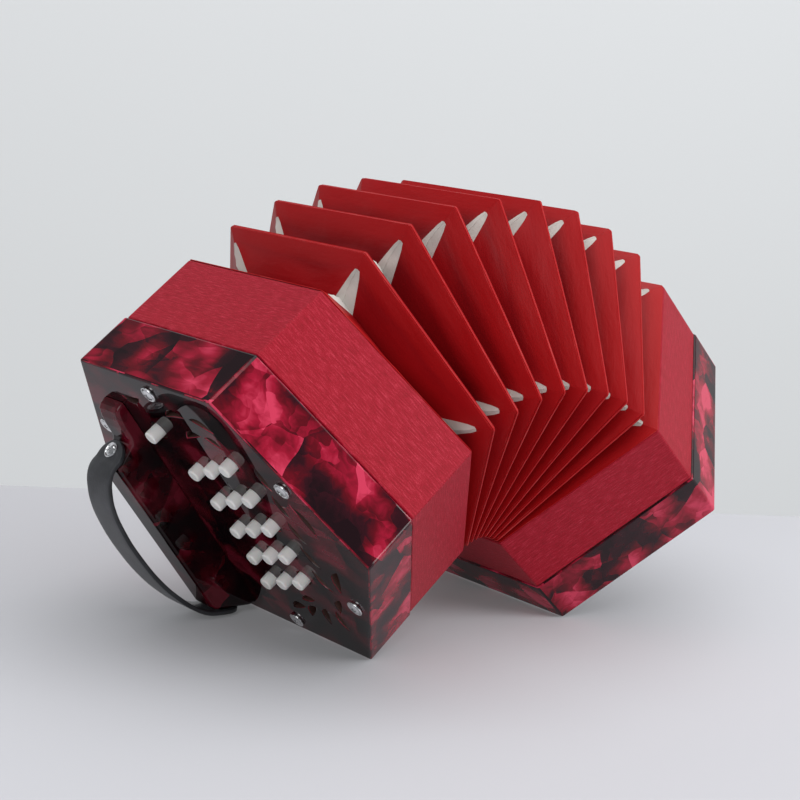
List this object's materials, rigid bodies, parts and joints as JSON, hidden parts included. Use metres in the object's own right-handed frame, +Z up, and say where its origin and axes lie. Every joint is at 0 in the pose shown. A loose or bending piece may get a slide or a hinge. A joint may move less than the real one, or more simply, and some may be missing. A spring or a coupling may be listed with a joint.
{
  "type": "concertina",
  "caption": "Hexagonal Anglo concertina with red folding bellows, pearl end boxes, white buttons, hand rails and leather straps, standing fanned out.",
  "frame": {"origin": "on the standing surface, under the middle of the arch of the bellows", "axes": "+X runs along the arch from the player's right-hand end to the left-hand end, +Y runs along the lower edges that it stands on, away from the button side towards the hand-rail side, +Z up"},
  "size_m": [0.3858, 0.2136, 0.2393],
  "materials": {
    "pearl": "polished crimson pearl celluloid",
    "leatherette": "fine-grained red leatherette",
    "bellows_paper": "satin red bellows covering",
    "strap": "smooth black leather",
    "ivory": "satin ivory-white plastic",
    "timber": "plain light timber",
    "gusset": "pale grey gusset leather",
    "chrome": "polished screws and cup washers",
    "lever_metal": "stamped lever strip",
    "felt": "pad felt and leather"
  },
  "bodies": {
    "root": {"right_end_box": "pearl", "right_action_board": "timber", "right_reed_pan": "timber", "right_bellows_frame": "leatherette", "right_hand_rail": "pearl", "right_hand_strap": "strap"},
    "valley_1": {"fold_cards_1": "bellows_paper"},
    "fold_1": {"bellows_fold_1": "bellows_paper"},
    "valley_2": {"fold_cards_2": "bellows_paper"},
    "fold_2": {"bellows_fold_2": "bellows_paper"},
    "valley_3": {"fold_cards_3": "bellows_paper"},
    "fold_3": {"bellows_fold_3": "bellows_paper"},
    "valley_4": {"fold_cards_4": "bellows_paper"},
    "fold_4": {"bellows_fold_4": "bellows_paper"},
    "valley_5": {"fold_cards_5": "bellows_paper"},
    "fold_5": {"bellows_fold_5": "bellows_paper"},
    "valley_6": {"fold_cards_6": "bellows_paper"},
    "fold_6": {"bellows_fold_6": "bellows_paper"},
    "valley_7": {"fold_cards_7": "bellows_paper"},
    "fold_7": {"bellows_fold_7": "bellows_paper"},
    "valley_8": {"fold_cards_8": "bellows_paper"},
    "fold_8": {"bellows_fold_8": "bellows_paper"},
    "valley_9": {"fold_cards_9": "bellows_paper"},
    "left_end": {"left_end_box": "pearl", "left_action_board": "timber", "left_reed_pan": "timber", "left_bellows_frame": "leatherette", "left_hand_rail": "pearl", "left_hand_strap": "strap"},
    "right_button_1_1": {"right_button_1_1": "ivory"},
    "right_button_1_2": {"right_button_1_2": "ivory"},
    "right_button_1_3": {"right_button_1_3": "ivory"},
    "right_button_1_4": {"right_button_1_4": "ivory"},
    "right_button_1_5": {"right_button_1_5": "ivory"},
    "right_button_2_1": {"right_button_2_1": "ivory"},
    "right_button_2_2": {"right_button_2_2": "ivory"},
    "right_button_2_3": {"right_button_2_3": "ivory"},
    "right_button_2_4": {"right_button_2_4": "ivory"},
    "right_button_2_5": {"right_button_2_5": "ivory"},
    "right_button_3_1": {"right_button_3_1": "ivory"},
    "right_button_3_2": {"right_button_3_2": "ivory"},
    "right_button_3_3": {"right_button_3_3": "ivory"},
    "right_button_3_4": {"right_button_3_4": "ivory"},
    "right_button_3_5": {"right_button_3_5": "ivory"},
    "air_button": {"air_button": "ivory"},
    "left_button_1_1": {"left_button_1_1": "ivory"},
    "left_button_1_2": {"left_button_1_2": "ivory"},
    "left_button_1_3": {"left_button_1_3": "ivory"},
    "left_button_1_4": {"left_button_1_4": "ivory"},
    "left_button_1_5": {"left_button_1_5": "ivory"},
    "left_button_2_1": {"left_button_2_1": "ivory"},
    "left_button_2_2": {"left_button_2_2": "ivory"},
    "left_button_2_3": {"left_button_2_3": "ivory"},
    "left_button_2_4": {"left_button_2_4": "ivory"},
    "left_button_2_5": {"left_button_2_5": "ivory"},
    "left_button_3_1": {"left_button_3_1": "ivory"},
    "left_button_3_2": {"left_button_3_2": "ivory"},
    "left_button_3_3": {"left_button_3_3": "ivory"},
    "left_button_3_4": {"left_button_3_4": "ivory"},
    "left_button_3_5": {"left_button_3_5": "ivory"}
  },
  "joints": [
    {"name": "pull_1", "type": "slide", "parent": "root", "child": "valley_1", "axis": [0.818, 0, 0.5752], "range_m": [0, 0.012], "deforming": ["fold_cards_1"]},
    {"name": "fan_1", "type": "hinge", "parent": "valley_1", "child": "fold_1", "pos_m": [-0.01283, 0, 0.05241], "axis": [0, 1, 0], "range_deg": [-8.78, 3]},
    {"name": "pull_2", "type": "slide", "parent": "fold_1", "child": "valley_2", "axis": [0.8962, 0, 0.4436], "range_m": [0, 0.012], "deforming": ["fold_cards_2"]},
    {"name": "fan_2", "type": "hinge", "parent": "valley_2", "child": "fold_2", "pos_m": [-0.00989, 0, 0.05416], "axis": [0, 1, 0], "range_deg": [-8.78, 3]},
    {"name": "pull_3", "type": "slide", "parent": "fold_2", "child": "valley_3", "axis": [0.9534, 0, 0.3016], "range_m": [0, 0.012], "deforming": ["fold_cards_3"]},
    {"name": "fan_3", "type": "hinge", "parent": "valley_3", "child": "fold_3", "pos_m": [-0.00673, 0, 0.05543], "axis": [0, 1, 0], "range_deg": [-8.78, 3]},
    {"name": "pull_4", "type": "slide", "parent": "fold_3", "child": "valley_4", "axis": [0.9883, 0, 0.1526], "range_m": [0, 0.012], "deforming": ["fold_cards_4"]},
    {"name": "fan_4", "type": "hinge", "parent": "valley_4", "child": "fold_4", "pos_m": [-0.0034, 0, 0.05621], "axis": [0, 1, 0], "range_deg": [-8.78, 3]},
    {"name": "pull_5", "type": "slide", "parent": "fold_4", "child": "valley_5", "axis": [1, 0, 0], "range_m": [0, 0.012], "deforming": ["fold_cards_5"]},
    {"name": "fan_5", "type": "hinge", "parent": "valley_5", "child": "fold_5", "pos_m": [0, 0, 0.05647], "axis": [0, 1, 0], "range_deg": [-8.78, 3]},
    {"name": "pull_6", "type": "slide", "parent": "fold_5", "child": "valley_6", "axis": [0.9883, 0, -0.1526], "range_m": [0, 0.012], "deforming": ["fold_cards_6"]},
    {"name": "fan_6", "type": "hinge", "parent": "valley_6", "child": "fold_6", "pos_m": [0.0034, 0, 0.05621], "axis": [0, 1, 0], "range_deg": [-8.78, 3]},
    {"name": "pull_7", "type": "slide", "parent": "fold_6", "child": "valley_7", "axis": [0.9534, 0, -0.3016], "range_m": [0, 0.012], "deforming": ["fold_cards_7"]},
    {"name": "fan_7", "type": "hinge", "parent": "valley_7", "child": "fold_7", "pos_m": [0.00673, 0, 0.05543], "axis": [0, 1, 0], "range_deg": [-8.78, 3]},
    {"name": "pull_8", "type": "slide", "parent": "fold_7", "child": "valley_8", "axis": [0.8962, 0, -0.4436], "range_m": [0, 0.012], "deforming": ["fold_cards_8"]},
    {"name": "fan_8", "type": "hinge", "parent": "valley_8", "child": "fold_8", "pos_m": [0.00989, 0, 0.05416], "axis": [0, 1, 0], "range_deg": [-8.78, 3]},
    {"name": "pull_9", "type": "slide", "parent": "fold_8", "child": "valley_9", "axis": [0.818, 0, -0.5752], "range_m": [0, 0.012], "deforming": ["fold_cards_9"]},
    {"name": "fan_9", "type": "hinge", "parent": "valley_9", "child": "left_end", "pos_m": [0.01283, 0, 0.05241], "axis": [0, 1, 0], "range_deg": [-8.78, 3]},
    {"name": "press_right_button_1_1", "type": "hinge", "parent": "root", "child": "right_button_1_1", "pos_m": [-0.14872, 0.026, 0.1017], "axis": [-0.6361, 0, 0.7716], "range_deg": [0, 4.91], "stiffness_Nm_per_rad": 0.25, "springref_deg": -6.88},
    {"name": "press_right_button_1_2", "type": "hinge", "parent": "root", "child": "right_button_1_2", "pos_m": [-0.13574, 0.026, 0.08596], "axis": [-0.6361, 0, 0.7716], "range_deg": [0, 4.48], "stiffness_Nm_per_rad": 0.25, "springref_deg": -6.88},
    {"name": "press_right_button_1_3", "type": "hinge", "parent": "root", "child": "right_button_1_3", "pos_m": [-0.12276, 0.026, 0.07021], "axis": [-0.6361, 0, 0.7716], "range_deg": [0, 4.35], "stiffness_Nm_per_rad": 0.25, "springref_deg": -6.88},
    {"name": "press_right_button_1_4", "type": "hinge", "parent": "root", "child": "right_button_1_4", "pos_m": [-0.10979, 0.026, 0.05447], "axis": [-0.6361, 0, 0.7716], "range_deg": [0, 4.48], "stiffness_Nm_per_rad": 0.25, "springref_deg": -6.88},
    {"name": "press_right_button_1_5", "type": "hinge", "parent": "root", "child": "right_button_1_5", "pos_m": [-0.09681, 0.026, 0.03873], "axis": [-0.6361, 0, 0.7716], "range_deg": [0, 4.91], "stiffness_Nm_per_rad": 0.25, "springref_deg": -6.88},
    {"name": "press_right_button_2_1", "type": "hinge", "parent": "root", "child": "right_button_2_1", "pos_m": [-0.15336, 0.026, 0.10733], "axis": [-0.6361, 0, 0.7716], "range_deg": [0, 3], "stiffness_Nm_per_rad": 0.25, "springref_deg": -6.88},
    {"name": "press_right_button_2_2", "type": "hinge", "parent": "root", "child": "right_button_2_2", "pos_m": [-0.14038, 0.026, 0.09159], "axis": [-0.6361, 0, 0.7716], "range_deg": [0, 2.83], "stiffness_Nm_per_rad": 0.25, "springref_deg": -6.88},
    {"name": "press_right_button_2_3", "type": "hinge", "parent": "root", "child": "right_button_2_3", "pos_m": [-0.12741, 0.026, 0.07585], "axis": [-0.6361, 0, 0.7716], "range_deg": [0, 2.78], "stiffness_Nm_per_rad": 0.25, "springref_deg": -6.88},
    {"name": "press_right_button_2_4", "type": "hinge", "parent": "root", "child": "right_button_2_4", "pos_m": [-0.11443, 0.026, 0.0601], "axis": [-0.6361, 0, 0.7716], "range_deg": [0, 2.83], "stiffness_Nm_per_rad": 0.25, "springref_deg": -6.88},
    {"name": "press_right_button_2_5", "type": "hinge", "parent": "root", "child": "right_button_2_5", "pos_m": [-0.10146, 0.026, 0.04436], "axis": [-0.6361, 0, 0.7716], "range_deg": [0, 3], "stiffness_Nm_per_rad": 0.25, "springref_deg": -6.88},
    {"name": "press_right_button_3_1", "type": "hinge", "parent": "root", "child": "right_button_3_1", "pos_m": [-0.158, 0.026, 0.11296], "axis": [-0.6361, 0, 0.7716], "range_deg": [0, 2.16], "stiffness_Nm_per_rad": 0.25, "springref_deg": -6.88},
    {"name": "press_right_button_3_2", "type": "hinge", "parent": "root", "child": "right_button_3_2", "pos_m": [-0.14503, 0.026, 0.09722], "axis": [-0.6361, 0, 0.7716], "range_deg": [0, 2.07], "stiffness_Nm_per_rad": 0.25, "springref_deg": -6.88},
    {"name": "press_right_button_3_3", "type": "hinge", "parent": "root", "child": "right_button_3_3", "pos_m": [-0.13205, 0.026, 0.08148], "axis": [-0.6361, 0, 0.7716], "range_deg": [0, 2.05], "stiffness_Nm_per_rad": 0.25, "springref_deg": -6.88},
    {"name": "press_right_button_3_4", "type": "hinge", "parent": "root", "child": "right_button_3_4", "pos_m": [-0.11907, 0.026, 0.06574], "axis": [-0.6361, 0, 0.7716], "range_deg": [0, 2.07], "stiffness_Nm_per_rad": 0.25, "springref_deg": -6.88},
    {"name": "press_right_button_3_5", "type": "hinge", "parent": "root", "child": "right_button_3_5", "pos_m": [-0.1061, 0.026, 0.05], "axis": [-0.6361, 0, 0.7716], "range_deg": [0, 2.16], "stiffness_Nm_per_rad": 0.25, "springref_deg": -6.88},
    {"name": "press_air_button", "type": "hinge", "parent": "root", "child": "air_button", "pos_m": [-0.16233, 0.026, 0.11821], "axis": [-0.6361, 0, 0.7716], "range_deg": [0, 8.19], "stiffness_Nm_per_rad": 0.25, "springref_deg": -6.88},
    {"name": "press_left_button_1_1", "type": "hinge", "parent": "left_end", "child": "left_button_1_1", "pos_m": [0.14872, 0.026, 0.1017], "axis": [-0.6361, 0, -0.7716], "range_deg": [0, 4.91], "stiffness_Nm_per_rad": 0.25, "springref_deg": -6.88},
    {"name": "press_left_button_1_2", "type": "hinge", "parent": "left_end", "child": "left_button_1_2", "pos_m": [0.13574, 0.026, 0.08596], "axis": [-0.6361, 0, -0.7716], "range_deg": [0, 4.48], "stiffness_Nm_per_rad": 0.25, "springref_deg": -6.88},
    {"name": "press_left_button_1_3", "type": "hinge", "parent": "left_end", "child": "left_button_1_3", "pos_m": [0.12276, 0.026, 0.07021], "axis": [-0.6361, 0, -0.7716], "range_deg": [0, 4.35], "stiffness_Nm_per_rad": 0.25, "springref_deg": -6.88},
    {"name": "press_left_button_1_4", "type": "hinge", "parent": "left_end", "child": "left_button_1_4", "pos_m": [0.10979, 0.026, 0.05447], "axis": [-0.6361, 0, -0.7716], "range_deg": [0, 4.48], "stiffness_Nm_per_rad": 0.25, "springref_deg": -6.88},
    {"name": "press_left_button_1_5", "type": "hinge", "parent": "left_end", "child": "left_button_1_5", "pos_m": [0.09681, 0.026, 0.03873], "axis": [-0.6361, 0, -0.7716], "range_deg": [0, 4.91], "stiffness_Nm_per_rad": 0.25, "springref_deg": -6.88},
    {"name": "press_left_button_2_1", "type": "hinge", "parent": "left_end", "child": "left_button_2_1", "pos_m": [0.15336, 0.026, 0.10733], "axis": [-0.6361, 0, -0.7716], "range_deg": [0, 3], "stiffness_Nm_per_rad": 0.25, "springref_deg": -6.88},
    {"name": "press_left_button_2_2", "type": "hinge", "parent": "left_end", "child": "left_button_2_2", "pos_m": [0.14038, 0.026, 0.09159], "axis": [-0.6361, 0, -0.7716], "range_deg": [0, 2.83], "stiffness_Nm_per_rad": 0.25, "springref_deg": -6.88},
    {"name": "press_left_button_2_3", "type": "hinge", "parent": "left_end", "child": "left_button_2_3", "pos_m": [0.12741, 0.026, 0.07585], "axis": [-0.6361, 0, -0.7716], "range_deg": [0, 2.78], "stiffness_Nm_per_rad": 0.25, "springref_deg": -6.88},
    {"name": "press_left_button_2_4", "type": "hinge", "parent": "left_end", "child": "left_button_2_4", "pos_m": [0.11443, 0.026, 0.0601], "axis": [-0.6361, 0, -0.7716], "range_deg": [0, 2.83], "stiffness_Nm_per_rad": 0.25, "springref_deg": -6.88},
    {"name": "press_left_button_2_5", "type": "hinge", "parent": "left_end", "child": "left_button_2_5", "pos_m": [0.10146, 0.026, 0.04436], "axis": [-0.6361, 0, -0.7716], "range_deg": [0, 3], "stiffness_Nm_per_rad": 0.25, "springref_deg": -6.88},
    {"name": "press_left_button_3_1", "type": "hinge", "parent": "left_end", "child": "left_button_3_1", "pos_m": [0.158, 0.026, 0.11296], "axis": [-0.6361, 0, -0.7716], "range_deg": [0, 2.16], "stiffness_Nm_per_rad": 0.25, "springref_deg": -6.88},
    {"name": "press_left_button_3_2", "type": "hinge", "parent": "left_end", "child": "left_button_3_2", "pos_m": [0.14503, 0.026, 0.09722], "axis": [-0.6361, 0, -0.7716], "range_deg": [0, 2.07], "stiffness_Nm_per_rad": 0.25, "springref_deg": -6.88},
    {"name": "press_left_button_3_3", "type": "hinge", "parent": "left_end", "child": "left_button_3_3", "pos_m": [0.13205, 0.026, 0.08148], "axis": [-0.6361, 0, -0.7716], "range_deg": [0, 2.05], "stiffness_Nm_per_rad": 0.25, "springref_deg": -6.88},
    {"name": "press_left_button_3_4", "type": "hinge", "parent": "left_end", "child": "left_button_3_4", "pos_m": [0.11907, 0.026, 0.06574], "axis": [-0.6361, 0, -0.7716], "range_deg": [0, 2.07], "stiffness_Nm_per_rad": 0.25, "springref_deg": -6.88},
    {"name": "press_left_button_3_5", "type": "hinge", "parent": "left_end", "child": "left_button_3_5", "pos_m": [0.1061, 0.026, 0.05], "axis": [-0.6361, 0, -0.7716], "range_deg": [0, 2.16], "stiffness_Nm_per_rad": 0.25, "springref_deg": -6.88}
  ],
  "couplings": [
    {"joint": "pull_2", "follows": "pull_1", "ratio": 1},
    {"joint": "fan_2", "follows": "fan_1", "ratio": 1},
    {"joint": "pull_3", "follows": "pull_1", "ratio": 1},
    {"joint": "fan_3", "follows": "fan_1", "ratio": 1},
    {"joint": "pull_4", "follows": "pull_1", "ratio": 1},
    {"joint": "fan_4", "follows": "fan_1", "ratio": 1},
    {"joint": "pull_5", "follows": "pull_1", "ratio": 1},
    {"joint": "fan_5", "follows": "fan_1", "ratio": 1},
    {"joint": "pull_6", "follows": "pull_1", "ratio": 1},
    {"joint": "fan_6", "follows": "fan_1", "ratio": 1},
    {"joint": "pull_7", "follows": "pull_1", "ratio": 1},
    {"joint": "fan_7", "follows": "fan_1", "ratio": 1},
    {"joint": "pull_8", "follows": "pull_1", "ratio": 1},
    {"joint": "fan_8", "follows": "fan_1", "ratio": 1},
    {"joint": "pull_9", "follows": "pull_1", "ratio": 1},
    {"joint": "fan_9", "follows": "fan_1", "ratio": 1}
  ]
}
